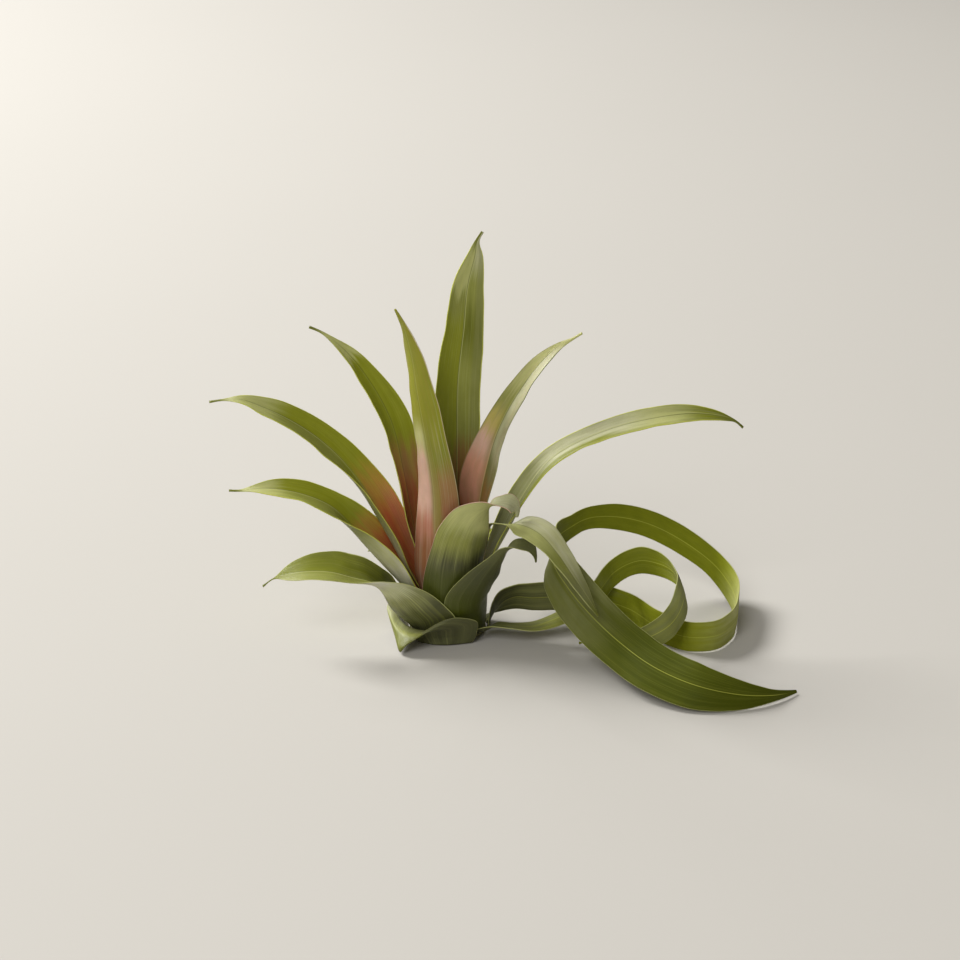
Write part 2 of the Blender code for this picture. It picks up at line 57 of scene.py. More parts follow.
# Leaf blades
MIDRIB_THICKNESS = 1.0
MARGIN_THICKNESS = 0.34
TAIL_WIDTH = 1.3
LEAST_WIDTH = 0.9
LEAST_CURL = 0.1
NARROW_WIDTH = 6.0
RIB_SPACING = 1.2
RIB_HEIGHT = 0.03

# Places of a station's points across the leaf, from margin to margin
ACROSS = np.linspace(-1, 1, 5)

# Waves of the margins: where they start and how far they fade in, as shares of the leaf
WAVES_START = 0.3
WAVES_FADE = 0.25
WAVES_FULL_WIDTH = 8.0
WAVE_LENGTHS = (31.0, 17.0, 11.0)
WAVE_STEEPNESS = 0.006

# Camera and floor, in metres
CAMERA_TARGET = Vector((0.0144, 0.0231, 0.0634))
CAMERA_DISTANCE = 1.2
CAMERA_RISE = math.radians(20)
CAMERA_LENS = 100.0
FLOOR_HALF = 14.0
LIGHT_AIM = (0.02, 0.0, 0.06)


def direction(turn, lift):
    """Unit vector with that compass turn from +X and that lift above the floor, in degrees."""
    a, e = math.radians(turn), math.radians(lift)
    return (math.cos(e) * math.cos(a), math.cos(e) * math.sin(a), math.sin(e))


def sheath(radius, turn, height, wrap):
    """A clasping stretch of a leaf: part of a ring round the stem, wrap degrees to each side."""
    a = math.radians(turn)
    return {
        "at": (radius * math.cos(a), radius * math.sin(a), height),
        "width": 2 * radius * math.radians(wrap),
        "face": direction(turn + 180, 0),
        "curl": wrap,
        "crease": 0,
    }


def blade(x, y, z, width, turn, lift, curl=5, crease=0):
    """A free stretch of a leaf. Its upper face looks along turn and lift, its margins curl towards that."""
    return {"at": (x, y, z), "width": width, "face": direction(turn, lift), "curl": curl, "crease": crease}


def tail(x, y, z, turn, lift):
    """The drip tip that ends a leaf."""
    return blade(x, y, z, TAIL_WIDTH, turn, lift)


def spread(near, middle, far):
    """A stretch of a wide leaf, given by a point on each margin and one midway between them."""
    return {"at": middle, "span": (near, middle, far)}


# Each leaf runs from its seat on the stem to its tip. Sizes are in millimetres, angles in degrees.
LEAF_FAR_LEFT = [
    sheath(8.9, 168, SEAT, 42),
    sheath(10.6, 167, 16, 39),
    spread((-16.5, -6, 31), (-18, 0, 31), (-13, 10, 35.5)),
    spread((-22, -9.5, 47), (-25.5, -1.5, 46.5), (-18, 9, 51)),
    spread((-28, -9.5, 57.5), (-30.5, -2.5, 57), (-23, 7, 63)),
    spread((-36, -9, 69.5), (-37, -3.5, 69.5), (-30.5, 4, 75)),
    blade(-50.5, -3.5, 87, 17.5, -52, 50, 30, 7),
    blade(-65, -4.5, 99, 15, -60, 55, 24, 8),
    blade(-79.5, -5.5, 107, 11, -70, 60, 18, 8),
    blade(-90.5, -6, 111, 4.4, -80, 60, 12, 5),
    tail(-96.5, -6, 111, -80, 60),
    tail(-103, -6, 110, -80, 60),
]
LEAF_LEFT = [
    sheath(12.7, 190, SEAT, 44),
    sheath(14.4, 190, 14, 42),
    spread((-14, -14.5, 27), (-20.5, -4.5, 24.5), (-17.5, 8.5, 28)),
    spread((-21, -15, 40), (-29, -7, 35.5), (-23.5, 3, 43)),
    spread((-31, -15, 49.5), (-37, -8.5, 46), (-30, 0, 53)),
    spread((-43, -15.5, 57), (-44.5, -8.5, 56), (-40, -4, 63)),
    blade(-50, -10.5, 62.5, 15.5, -60, 58, 30, 7),
    blade(-64.5, -12.5, 70, 13.5, -75, 62, 24, 8),
    blade(-77, -13.5, 72.5, 9, -80, 60, 18, 8),
    blade(-86, -14, 72.5, 3, -85, 60, 12, 4),
    tail(-90, -14, 72, -85, 60),
    tail(-95, -14, 72, -85, 60),
]
LEAF_LOW_LEFT = [
    spread((0.5, -16.5, SEAT), (-14, -8.7, SEAT), (-14.3, 8.3, SEAT)),
    spread((2, -18.6, 8.5), (-16.2, -11, 7.5), (-16.5, 9, 8)),
    spread((3.5, -20.8, 15), (-20, -13.5, 12), (-19, 7, 13)),
    spread((0, -21.4, 19.5), (-22.5, -14.8, 15.2), (-21, 4.5, 18)),
    spread((-4.7, -21, 24), (-24.6, -16, 18.8), (-23, 2, 22)),
    spread((-10, -20.3, 27.3), (-26.6, -16.5, 22.7), (-25, -1.5, 27)),
    spread((-19, -19.5, 30.4), (-30, -17, 27.4), (-29, -6.5, 32.5)),
    spread((-27.5, -20, 31.5), (-34, -18.3, 30.5), (-35, -8.8, 37.6)),
    spread((-38, -22, 31.8), (-42, -18.5, 33), (-43, -10, 41)),
    blade(-51, -19, 35.5, 21.5, -74, 70, 28, 8),
    blade(-62, -19.5, 36, 16.5, -85, 68, 20, 8),
    blade(-70.5, -19, 34.5, 8.5, -90, 66, 12, 6),
    tail(-75.5, -19, 33, -90, 66),
    tail(-81, -19, 29, -90, 66),
]
LEAF_UPPER_LEFT = [
    sheath(7, 168, SEAT, 33),
    sheath(9.4, 168, 20, 29),
    blade(-16, 8, 49.5, 20, -30, 8, 38, 4),
    blade(-20, 9, 73, 20, -35, 15, 38, 6),
    blade(-25.5, 11, 96.5, 18.5, -45, 25, 34, 8),
    blade(-34.5, 13, 113.5, 12.5, -55, 32, 28, 9),
    blade(-43.5, 15, 125, 7.6, -60, 36, 22, 9),
    blade(-50.5, 16, 131.5, 2.8, -65, 38, 14, 5),
    tail(-55, 17, 134.5, -65, 40),
    tail(-60.5, 17, 137, -65, 40),
]
LEAF_CENTRE_LEFT = [
    sheath(10.8, 250, SEAT, 42),
    sheath(12.8, 250, 18, 44),
    sheath(15.4, 250, 30, 46),
    blade(-5.5, -15, 49.5, 24, 70, -2, 40, 4),
    blade(-6, -15, 72.5, 21.5, 60, -4, 36, 5),
    blade(-9, -14, 95, 19, 50, -8, 30, 6),
    blade(-12.5, -12, 116, 18, 40, -10, 24, 6),
    blade(-15.5, -10, 135, 11, 35, -12, 16, 4),
    blade(-18.5, -9, 145.5, 4.2, 35, -12, 10),
    tail(-22, -8, 152.5, 35, -12),
]
LEAF_TALL = [
    sheath(7, 90, SEAT, 40),
    sheath(8.4, 86, 22, 38),
    blade(3.5, 12, 58, 19.5, -88, 0, 44, 5),
    blade(4, 13, 86, 22, -86, 2, 40, 7),
    blade(4.5, 14, 113.5, 22, -84, 3, 34, 9),
    blade(7, 15, 136.5, 19, -82, 4, 28, 10),
    blade(9, 15, 157, 14.5, -80, 4, 22, 10),
    blade(12, 15, 169.5, 8, -80, 4, 14, 6),
    blade(13.5, 15, 177, 1.8, -80, 4, 8),
    tail(15.5, 15, 180.5, -80, 4),
]
LEAF_UPPER_RIGHT = [
    sheath(7, 5, SEAT, 38),
    sheath(8.8, 4, 20, 34),
    blade(12, 0, 38, 15, -165, 4, 40),
    blade(16.5, 1, 71, 24, -138, 12, 42, 7),
    blade(23.5, 3.5, 95.5, 15.5, -130, 22, 36, 9),
    blade(32.5, 7, 111.5, 11.5, -125, 30, 28, 10),
    blade(42.5, 9, 124.5, 7.6, -120, 38, 20, 9),
    blade(50, 10, 131, 3.2, -115, 42, 12, 4),
    tail(55, 11, 133.5, -115, 44),
    tail(59, 11, 136, -115, 44),
]
LEAF_FAR_RIGHT = [
    sheath(8.9, 350, SEAT, 45),
    sheath(10.8, 352, 18, 42),
    sheath(18, 2, 33, 26),
    blade(25.5, -0.5, 47, 20, -172, 15, 36, 5),
    blade(33.5, -1, 64, 18, -160, 32, 30, 6),
    blade(46, -0.5, 81.5, 12.5, -140, 45, 24, 7),
    blade(67.5, 0.5, 93.5, 10.5, -110, 50, 20, 7),
    blade(89, 1.5, 99.5, 11, -95, 52, 16, 7),
    blade(111, 4, 101, 8, -85, 54, 14, 6),
    blade(122, 5, 99, 3.8, -80, 54, 10, 4),
    tail(126.5, 5, 97.5, -80, 54),
    tail(130, 5, 94.5, -80, 54),
]
BRACT_FRONT = [
    sheath(14.6, 285, SEAT, 48),
    sheath(16.2, 285, 13, 50),
    sheath(18.2, 283, 25, 50),
    blade(5, -20, 41, 28, 100, -6, 50, 2),
    blade(7.5, -21, 52.5, 24.5, 98, 0, 42, 3),
    blade(11.5, -22, 61, 19, 96, 12, 32, 3),
    blade(17.5, -22, 67, 11, 100, 50, 20, 2),
    blade(23, -21, 69, 7.6, -80, 70, 12, 2),
    blade(28, -20, 68, 10, -75, 55, 8),
    blade(30.5, -19, 65, 3.5, -60, 30),
    tail(30.5, -19, 61.5, -50, 20),
]
BRACT_FRONT_RIGHT = [
    sheath(16.5, 312, SEAT + 0.8, 41),
    sheath(17.2, 314, 10, 41),
    blade(13.5, -17, 22, 31, 130, 0, 50, 2),
    blade(17, -20.5, 32, 21, 125, 8, 40, 3),
    blade(21.5, -21, 40.5, 11, 118, 25, 30, 3),
    blade(27, -20, 47, 9, 110, 65, 20, 2),
    blade(32, -19, 48.5, 7.5, -80, 68, 14, 2),
    blade(36.5, -18, 47, 6, -70, 50, 8),
    blade(38.5, -17, 43, 3, -40, 30),
    tail(39, -16.5, 39.5, -30, 20),
]
BRACT_FOOT = [
    spread((10.7, -15.2, 0.6), (-10.5, -15.5, 0.6), (-18, 5, 0.6)),
    spread((13, -16.6, 6), (-13.5, -15, 5), (-21.5, 8, 5.5)),
    spread((12.5, -19, 12.5), (-14.5, -17.5, 7.5), (-24, 11, 9)),
    spread((3.8, -22.4, 15.4), (-16, -20, 7.5), (-26.5, 9, 10)),
    spread((-3.2, -23.8, 13.8), (-17.5, -22.5, 7), (-27.5, 4, 9)),
    spread((-9.8, -25.2, 10.2), (-18.5, -24.5, 6), (-26.5, -2, 7.5)),
    spread((-15.5, -26.6, 7), (-19.5, -26, 4.8), (-24.8, -10, 5.7)),
    spread((-18.6, -27.6, 4.2), (-20.6, -27.4, 3.2), (-23, -18, 3.8)),
    spread((-20.2, -26.6, 1.2), (-20.8, -27, 1.2), (-21.4, -26.4, 1.4)),
]
LEAF_TRAILING_SHORT = [
    sheath(10.8, 321, SEAT, 22),
    sheath(14.4, 316, 18, 19),
    sheath(16.2, 313, 32, 15),
    blade(15.8, -12, 44, 5, 140, 10, 16),
    blade(19, -13.6, 56, 4, 130, 45, 12),
    blade(25.5, -18, 57.5, 4.5, 100, 60, 10),
    blade(32.5, -22, 58.5, 13.5, -70, 65, 10, 2),
    blade(40, -28.5, 57, 16.5, -60, 55, 12, 4),
    blade(47.5, -35, 50.5, 14.5, -40, 42, 12, 5),
    blade(54, -41, 42.5, 12.5, -30, 36, 12, 5),
    blade(59.5, -46, 35.5, 8, -30, 34, 8, 3),
    blade(63, -49.5, 31, 3.6, -30, 34),
    tail(65, -51.5, 28.5, -30, 34),
]
LEAF_LONG_RIBBON = [
    spread((14.5, 12, 1), (17.5, 6, 1), (18, -1.5, 1)),
    spread((18, 13, 2.5), (21, 7, 6.5), (19.5, -1, 12.5)),
    spread((22, 12.5, 3.5), (24.5, 8, 10.5), (23, 1.5, 18)),
    spread((29, 11.5, 5.5), (29.5, 9, 12.5), (29, 5, 19.5)),
    blade(38, 7, 13, 15, 100, 12, 8),
    blade(52, 8.5, 13, 14.5, 95, 5, 6),
    blade(66, 10, 11.5, 14.5, 85, 4),
    blade(80, 4, 9.5, 14.5, 70, 2),
    blade(94, -16, 8.4, 14.5, 68, 0),
    blade(107, -25.5, 7.6, 14, 80, 0),
    blade(117, -24.5, 7.6, 14, 115, 0),
    blade(126, -13.5, 7.7, 14, 150, 0),
    blade(130.5, 5.5, 8, 14, 180, 4),
    blade(130, 25.5, 10, 14, -150, 10),
    blade(122.5, 40, 16, 12, -125, 14),
    blade(109, 45, 25, 12.5, -112, 15),
    blade(93, 44, 34, 12.5, -100, 16),
    blade(77.5, 38, 40, 12, -90, 18),
    blade(64.5, 29, 43, 10.2, -72, 18),
    blade(56, 17, 43.8, 9.8, -40, 12),
    blade(47.5, 3, 42, 16.5, 5, 0),
    blade(47.5, -12, 36, 19, 45, -20, 6, 2),
    blade(53, -24.5, 30.5, 21, 65, -30, 7, 3),
    blade(63, -40.5, 23.5, 22, 78, -36, 8, 3),
    blade(75, -55, 17, 22, 85, -38, 8, 3),
    blade(90.5, -73, 12.6, 22, 95, -38, 8, 3),
    blade(106.5, -83.5, 9.9, 20, 105, -35, 8, 3),
    blade(123.5, -83.5, 6.2, 13, 118, -30, 6, 2),
    blade(137, -78.5, 3.6, 6, 125, -28, 5, 2),
    tail(149, -69, 1.2, 128, -28),
]
LEAF_SMALL_LOOP = [
    sheath(18.2, 329, SEAT, 19),
    blade(20.5, -11, 6.5, 11, 150, 40, 16),
    blade(28, -13, 7.2, 11, 140, 70, 10),
    blade(38, -14, 7.5, 11, 0, 88, 6),
    spread((49.5, -10, 13.5), (49.7, -13, 11.5), (50, -16, 9)),
    spread((57, -13.5, 20), (57, -13.8, 16), (57, -14.2, 12)),
    spread((61.8, -11.5, 24.2), (61.8, -11.8, 19.2), (62.3, -12, 14.2)),
    spread((65.4, -7.5, 27.2), (66.2, -7.8, 21.2), (67, -8.2, 15.2)),
    spread((68.7, -2, 30), (69.5, -2, 23.2), (70.3, -2.2, 16.5)),
    spread((73, 4, 32.3), (73.5, 4, 25.8), (74.5, 3.8, 19.3)),
    spread((79, 7, 35.2), (79.7, 7, 28.8), (80.7, 6.8, 22.8)),
    spread((86, 7, 37.4), (86.1, 6.8, 31), (86.3, 6.2, 24.8)),
    spread((93, 4, 36.8), (93.8, 3, 31.2), (94.4, 1, 25.6)),
    spread((98, -1, 35), (99.6, -3.2, 30.6), (101.3, -7, 25.4)),
    spread((100.5, -6, 33), (102.5, -10, 28.8), (104, -15, 24.4)),
    spread((101.4, -12, 30.6), (103.9, -17, 25.8), (105.3, -22, 21.4)),
    spread((100, -20, 27.6), (103, -25.2, 23.2), (104.2, -30, 18.8)),
    spread((97.5, -27, 24.4), (100.2, -32, 20), (101.2, -36, 15.8)),
    spread((93.6, -33, 21.8), (96.1, -37, 17.4), (97.3, -40, 13)),
    spread((89, -36, 19.2), (90.8, -39.2, 14.8), (91.6, -42, 10.2)),
    spread((83.3, -37, 16.3), (84.4, -39.2, 12.2), (85.2, -41, 8.2)),
    spread((76.7, -36, 13.6), (77.1, -37.6, 10.4), (77.5, -39, 7.2)),
    spread((70.1, -33, 10.6), (70.3, -34, 8.4), (70.3, -35, 6.2)),
    spread((64.4, -30, 8.2), (64.4, -30.5, 6.8), (64.4, -31, 5.4)),
    tail(58, -27, 5.4, -90, 20),
]
LEAF_BACK_RIGHT = [
    sheath(10.8, 44, SEAT, 38),
    sheath(12.8, 43, 14, 34),
    blade(13.5, 16.5, 25, 15, -130, 20, 30, 4),
    blade(17, 25, 33, 16, -125, 45, 30, 6),
    blade(20.5, 32, 35, 11, -120, 70, 22, 6),
    blade(23, 37, 33, 5, -120, 80, 12, 3),
    tail(24.5, 41, 30.5, -120, 85),
]
LEAF_BACK_TALL = [
    sheath(8.9, 82, SEAT, 40),
    sheath(11, 83, 20, 36),
    blade(1.5, 15.5, 38, 18, -88, 12, 34, 5),
    blade(2, 24, 58, 19, -88, 35, 36, 7),
    blade(3.5, 40, 72, 17, -90, 58, 28, 8),
    blade(5.5, 60, 76, 12, -90, 82, 20, 8),
    blade(7.5, 77, 70, 5, 92, 72, 12, 4),
    blade(8.5, 83, 66.5, 1.5, 92, 65),
    tail(9, 88, 63.5, 92, 60),
]
LEAF_BACK_LEFT = [
    sheath(10.8, 122, SEAT, 32),
    sheath(12.8, 121, 12, 24),
    blade(-13, 17.5, 20, 11.5, -50, 25, 24, 5),
    blade(-17, 26, 27, 16, -50, 55, 28, 7),
    blade(-24, 36, 27, 12, -50, 82, 20, 7),
    blade(-31, 45, 22.5, 6, 130, 72, 12, 4),
    blade(-34.5, 49, 19.5, 1.6, 130, 66),
    tail(-37.5, 52.5, 17.5, 130, 66),
]
BRACT_BACK = [
    sheath(14.6, 82, SEAT, 30),
    sheath(16.2, 83, 12, 26),
    blade(1, 20.5, 22, 12.5, -88, 14, 26, 3),
    blade(0.5, 26, 30, 12, -86, 40, 24, 4),
    blade(0, 32.5, 34, 8.5, -88, 66, 16, 3),
    blade(0, 37, 34, 3, -88, 85, 8),
    tail(0, 40, 32.5, 92, 80),
]


def unit(vectors):
    return vectors / np.linalg.norm(vectors, axis=-1, keepdims=True)


def smooth(values, knots, at):
    """Cubic curve through the values at the knots, read at the given places."""
    values = np.asarray(values, float).reshape(len(knots), -1)
    gaps = np.diff(knots)[:, None]
    slopes = np.diff(values, axis=0) / gaps
    tangents = np.empty_like(values)
    tangents[1:-1] = (slopes[:-1] * gaps[1:] + slopes[1:] * gaps[:-1]) / (gaps[:-1] + gaps[1:])
    tangents[0] = 1.5 * slopes[0] - 0.5 * tangents[1]
    tangents[-1] = 1.5 * slopes[-1] - 0.5 * tangents[-2]
    i = np.clip(np.searchsorted(knots, at, side="right") - 1, 0, len(knots) - 2)
    h = gaps[i]
    x = (at - knots[i])[:, None] / h
    return (
        values[i] * (2 * x**3 - 3 * x**2 + 1)
        + tangents[i] * h * (x**3 - 2 * x**2 + x)
        + values[i + 1] * (3 * x**2 - 2 * x**3)
        + tangents[i + 1] * h * (x**3 - x**2)
    )


def ring_places(points, knots, rings):
    """Where the rings lie along the leaf: closer together in its bends and near its tip."""
    samples, turn_weight, turn_floor, tip_weight, tip_reach = 900, 0.6, 1.2, 0.2, 9.0
    fine = np.linspace(0, knots[-1], samples)
    steps = np.diff(smooth(points, knots, fine), axis=0)
    lengths = np.linalg.norm(steps, axis=1)
    headings = unit(steps)
    turns = np.arccos(np.clip((headings[1:] * headings[:-1]).sum(1), -1, 1))
    turns = np.concatenate([[0], turns])
    tip = np.exp((fine[1:] - knots[-1]) / tip_reach)
    cost = lengths / lengths.sum() + turn_weight * turns / max(turns.sum(), turn_floor)
    cost = cost + tip_weight * tip / tip.sum()
    total = np.concatenate([[0], np.cumsum(cost)])
    return np.interp(np.linspace(0, total[-1], rings), total, fine)


def across_places(across):
    """Places across a leaf from margin to margin, closer together near the margins."""
    crowding = 0.82
    reach = math.pi / 2 * crowding
    return np.sin(np.linspace(-1, 1, across) * reach) / math.sin(reach)


def arc_across(station, heading):
    """Points across a station from margin to margin, on an arc that curls towards the upper face."""
    face = np.array(station["face"])
    normal = unit(face - face.dot(heading) * heading)
    side = np.cross(heading, normal)
    curl = math.radians(max(station["curl"], LEAST_CURL))
    crease = math.radians(station["crease"])
    bend = curl / (station["width"] / 2)
    angle = crease + np.abs(ACROSS) * curl
    out = (np.sin(angle) - math.sin(crease)) / bend * np.sign(ACROSS)
    rise = (math.cos(crease) - np.cos(angle)) / bend
    return np.array(station["at"]) + np.outer(out, side) + np.outer(rise, normal)


def curve_across(span):
    """Points across a station on the parabola through its two margins and its middle."""
    near, middle, far = (np.array(p, float) for p in span)
    u = ACROSS[:, None]
    return middle + u * (far - near) / 2 + u**2 * ((near + far) / 2 - middle)


def points_across(station, heading):
    return curve_across(station["span"]) if "span" in station else arc_across(station, heading)


def wide_leaf_surface(stations, points, knots, at, u):
    """Middle surface of a leaf that is given by its margins, with its normals and widths."""
    nudge = knots[-1] * 1e-3
    ahead = smooth(points, knots, np.clip(knots + nudge, 0, knots[-1]))
    behind = smooth(points, knots, np.clip(knots - nudge, 0, knots[-1]))
    rows = [points_across(s, h) for s, h in zip(stations, unit(ahead - behind))]
    grid = smooth(np.array(rows), knots, at).reshape(len(at), len(ACROSS), 3)
    middle = smooth(grid.transpose(1, 0, 2), ACROSS, u).reshape(len(u), len(at), 3).transpose(1, 0, 2)
    normal = unit(np.cross(np.gradient(middle, axis=1), np.gradient(middle, axis=0)))
    width = np.linalg.norm(np.diff(middle, axis=1), axis=2).sum(1)
    return middle, normal, width[:, None]


def arc_leaf_surface(stations, points, knots, at, u):
    """Middle surface of a leaf that is given by its midrib and widths, with its normals and widths."""

    def along(key):
        return smooth([s[key] for s in stations], knots, at)

    spine = smooth(points, knots, at)
    width = np.maximum(along("width"), LEAST_WIDTH)
    faces = unit(along("face"))
    curl = np.radians(np.maximum(along("curl"), LEAST_CURL))
    crease = np.radians(along("crease"))
    nudge = knots[-1] * 1e-4
    after = smooth(points, knots, np.clip(at + nudge, 0, knots[-1]))
    before = smooth(points, knots, np.clip(at - nudge, 0, knots[-1]))
    heading = unit(after - before)
    normal = unit(faces - (faces * heading).sum(1, keepdims=True) * heading)
    side = np.cross(heading, normal)
    u = u[None, :]
    bend = curl / (width / 2)
    angle = crease + np.abs(u) * curl
    out = (np.sin(angle) - np.sin(crease)) / bend * np.sign(u)
    rise = (np.cos(crease) - np.cos(angle)) / bend
    middle = spine[:, None, :] + side[:, None, :] * out[..., None] + normal[:, None, :] * rise[..., None]
    lean = -np.sin(angle) * np.sign(u)
    upright = np.where(u == 0, 1.0, np.cos(angle))
    skin = side[:, None, :] * lean[..., None] + normal[:, None, :] * upright[..., None]
    return middle, skin, width


def blade_thickness(u, slim):
    """Thickness across the blade: most at the midrib, least at the margins, less where it is narrow."""
    thick = MARGIN_THICKNESS + (MIDRIB_THICKNESS - MARGIN_THICKNESS) * (1 - np.abs(u) ** 1.5)
    return thick * (0.5 + 0.5 * slim)


def margin_waves(at, length, u, width, seed):
    """Small waves of the margins, where the leaf is free of the stem and wide enough."""
    rng = np.random.default_rng(seed)
    waves = 0.0
    for wave_length in WAVE_LENGTHS:
        phase = rng.uniform(0, 2 * math.pi, 2)
        wave = np.sin(2 * math.pi * at[:, None] / wave_length + np.where(u < 0, phase[0], phase[1]))
        waves = waves + wave * wave_length * WAVE_STEEPNESS
    free = np.clip((at[:, None] / length - WAVES_START) / WAVES_FADE, 0, 1)
    free = free * np.clip(width / WAVES_FULL_WIDTH, 0, 1)
    return waves * free * u**4


def leaf_grids(stations, rings, across, seed):
    """Upper and lower face of a leaf as grids of points, with each point's places on the leaf."""
    points = np.array([s["at"] for s in stations], float)
    knots = np.concatenate([[0], np.cumsum(np.linalg.norm(np.diff(points, axis=0), axis=1))])
    length = knots[-1]
    at = ring_places(points, knots, rings)
    u = across_places(across)
    wide = any("span" in s for s in stations)
    surface = wide_leaf_surface if wide else arc_leaf_surface
    middle, skin, width = surface(stations, points, knots, at, u)
    u = u[None, :]
    least_slim = 0.35
    slim = np.clip(width / NARROW_WIDTH, least_slim, 1.0)
    thick = blade_thickness(u, slim)
    ribs = max(3, round(width.max() / RIB_SPACING))
    ridge = np.cos(math.pi * ribs * u) * RIB_HEIGHT * slim * (1 - u**4)
    lift = margin_waves(at, length, u, width, seed) + ridge
    upper = middle + skin * (lift + thick / 2)[..., None]
    lower = middle + skin * (lift - thick / 2)[..., None]
    reach = np.repeat(at[:, None], across, 1)
    ones = np.ones_like(reach)
    places = {"reach": reach, "frac": reach / length, "across": u * ones, "girth": width * ones}
    return upper, lower, places


def leaf_faces(rings, across):
    """Faces of a leaf: its two sides, its two margins, its seat and its tip."""
    top = np.arange(rings * across).reshape(rings, across)
    under = top + rings * across
    strips = (
        (top[:-1, :-1], top[:-1, 1:], top[1:, 1:], top[1:, :-1]),
        (under[1:, :-1], under[1:, 1:], under[:-1, 1:], under[:-1, :-1]),
        (top[:-1, :1], top[1:, :1], under[1:, :1], under[:-1, :1]),
        (top[1:, -1:], top[:-1, -1:], under[:-1, -1:], under[1:, -1:]),
        (top[:1, 1:], top[:1, :-1], under[:1, :-1], under[:1, 1:]),
        (top[-1:, :-1], top[-1:, 1:], under[-1:, 1:], under[-1:, :-1]),
    )
    faces = []
    for strip in strips:
        faces.extend(np.stack([corner.ravel() for corner in strip], 1).tolist())
    return faces


def make_leaf(name, stations, rings, across, seed):
    """One closed leaf, whose mesh tells its material the places along and across it."""
    upper, lower, places = leaf_grids(stations, rings, across, seed)
    count = rings * across
    points = np.concatenate([upper.reshape(-1, 3), lower.reshape(-1, 3)]) * MM
    faces = leaf_faces(rings, across)
    values = {key: np.concatenate([grid.ravel(), grid.ravel()]) for key, grid in places.items()}
    values["under"] = np.concatenate([np.zeros(count), np.ones(count)])
    mesh = bpy.data.meshes.new(name + "_blade")
    mesh.from_pydata(points.tolist(), [], faces)
    for key, row in values.items():
        mesh.attributes.new(key, "FLOAT", "POINT").data.foreach_set("value", row.astype(np.float32))
    mesh.validate()
    mesh.update()
    if signed_volume(points, faces) < 0:
        mesh.flip_normals()
    mesh.polygons.foreach_set("use_smooth", [True] * len(mesh.polygons))
    piece = bpy.data.objects.new(name + "_blade", mesh)
    bpy.context.scene.collection.objects.link(piece)
    return piece


def signed_volume(points, faces):
    """Six times the volume that the faces enclose, below zero if they face inwards."""
    f = np.array(faces)
    a, b, c, d = (points[f[:, k]] for k in range(4))
    first = np.einsum("ij,ij->i", a, np.cross(b, c)).sum()
    second = np.einsum("ij,ij->i", a, np.cross(c, d)).sum()
    return first + second


def rgb(code):
    """Linear colour from a web colour."""
    levels = [int(code[i : i + 2], 16) / 255 for i in (1, 3, 5)]
    return tuple(v / 12.92 if v <= 0.04045 else ((v + 0.055) / 1.055) ** 2.4 for v in levels) + (1.0,)


VIVID = rgb("#8c9116")
MID = rgb("#7f8518")
OLIVE = rgb("#666b10")
DARK = rgb("#454c06")
FERN = rgb("#8e9244")
SAGE = rgb("#bcbe7a")
LEMON = rgb("#c6c956")
PALE = rgb("#bfbf98")
CHALK = rgb("#cfccb6")
GREY = rgb("#7e8052")
SLATE = rgb("#46482a")
ROSE = rgb("#bd7d66")
PINK = rgb("#dab19f")
RUST = rgb("#c4623f")
WINE = rgb("#a64b38")
SIENNA = rgb("#94603c")
CORAL = rgb("#dfa088")
UMBER = rgb("#5e3a1c")
TAN = rgb("#9a7242")
ORANGE = rgb("#b3863a")
GOLD = rgb("#bdae5c")
SAND = rgb("#d6c79c")
BARK = rgb("#66643a")
BARK_DARK = rgb("#34351a")
FLOOR_LIGHT = rgb("#c2bfb9")
FLOOR_DARK = rgb("#bebbb5")
DAYLIGHT = rgb("#ece6da")

# Flakes of the bark, wider than they are high
FLAKES_PER_METRE = (260, 260, 1400)

# Grain of the leaves: its changes over half a leaf's width, its changes in a millimetre along the leaf,
# and its place in the noise, which also moves by a step from leaf to leaf
BROAD_GRAIN = (4.0, 0.018, 0.0)
FINE_GRAIN = (22.0, 0.016, 7.0)
MOTTLING = (3.0, 0.12, 3.0)
DAPPLES = (8.0, 0.3, 5.0)
SEED_STEP = 11.0


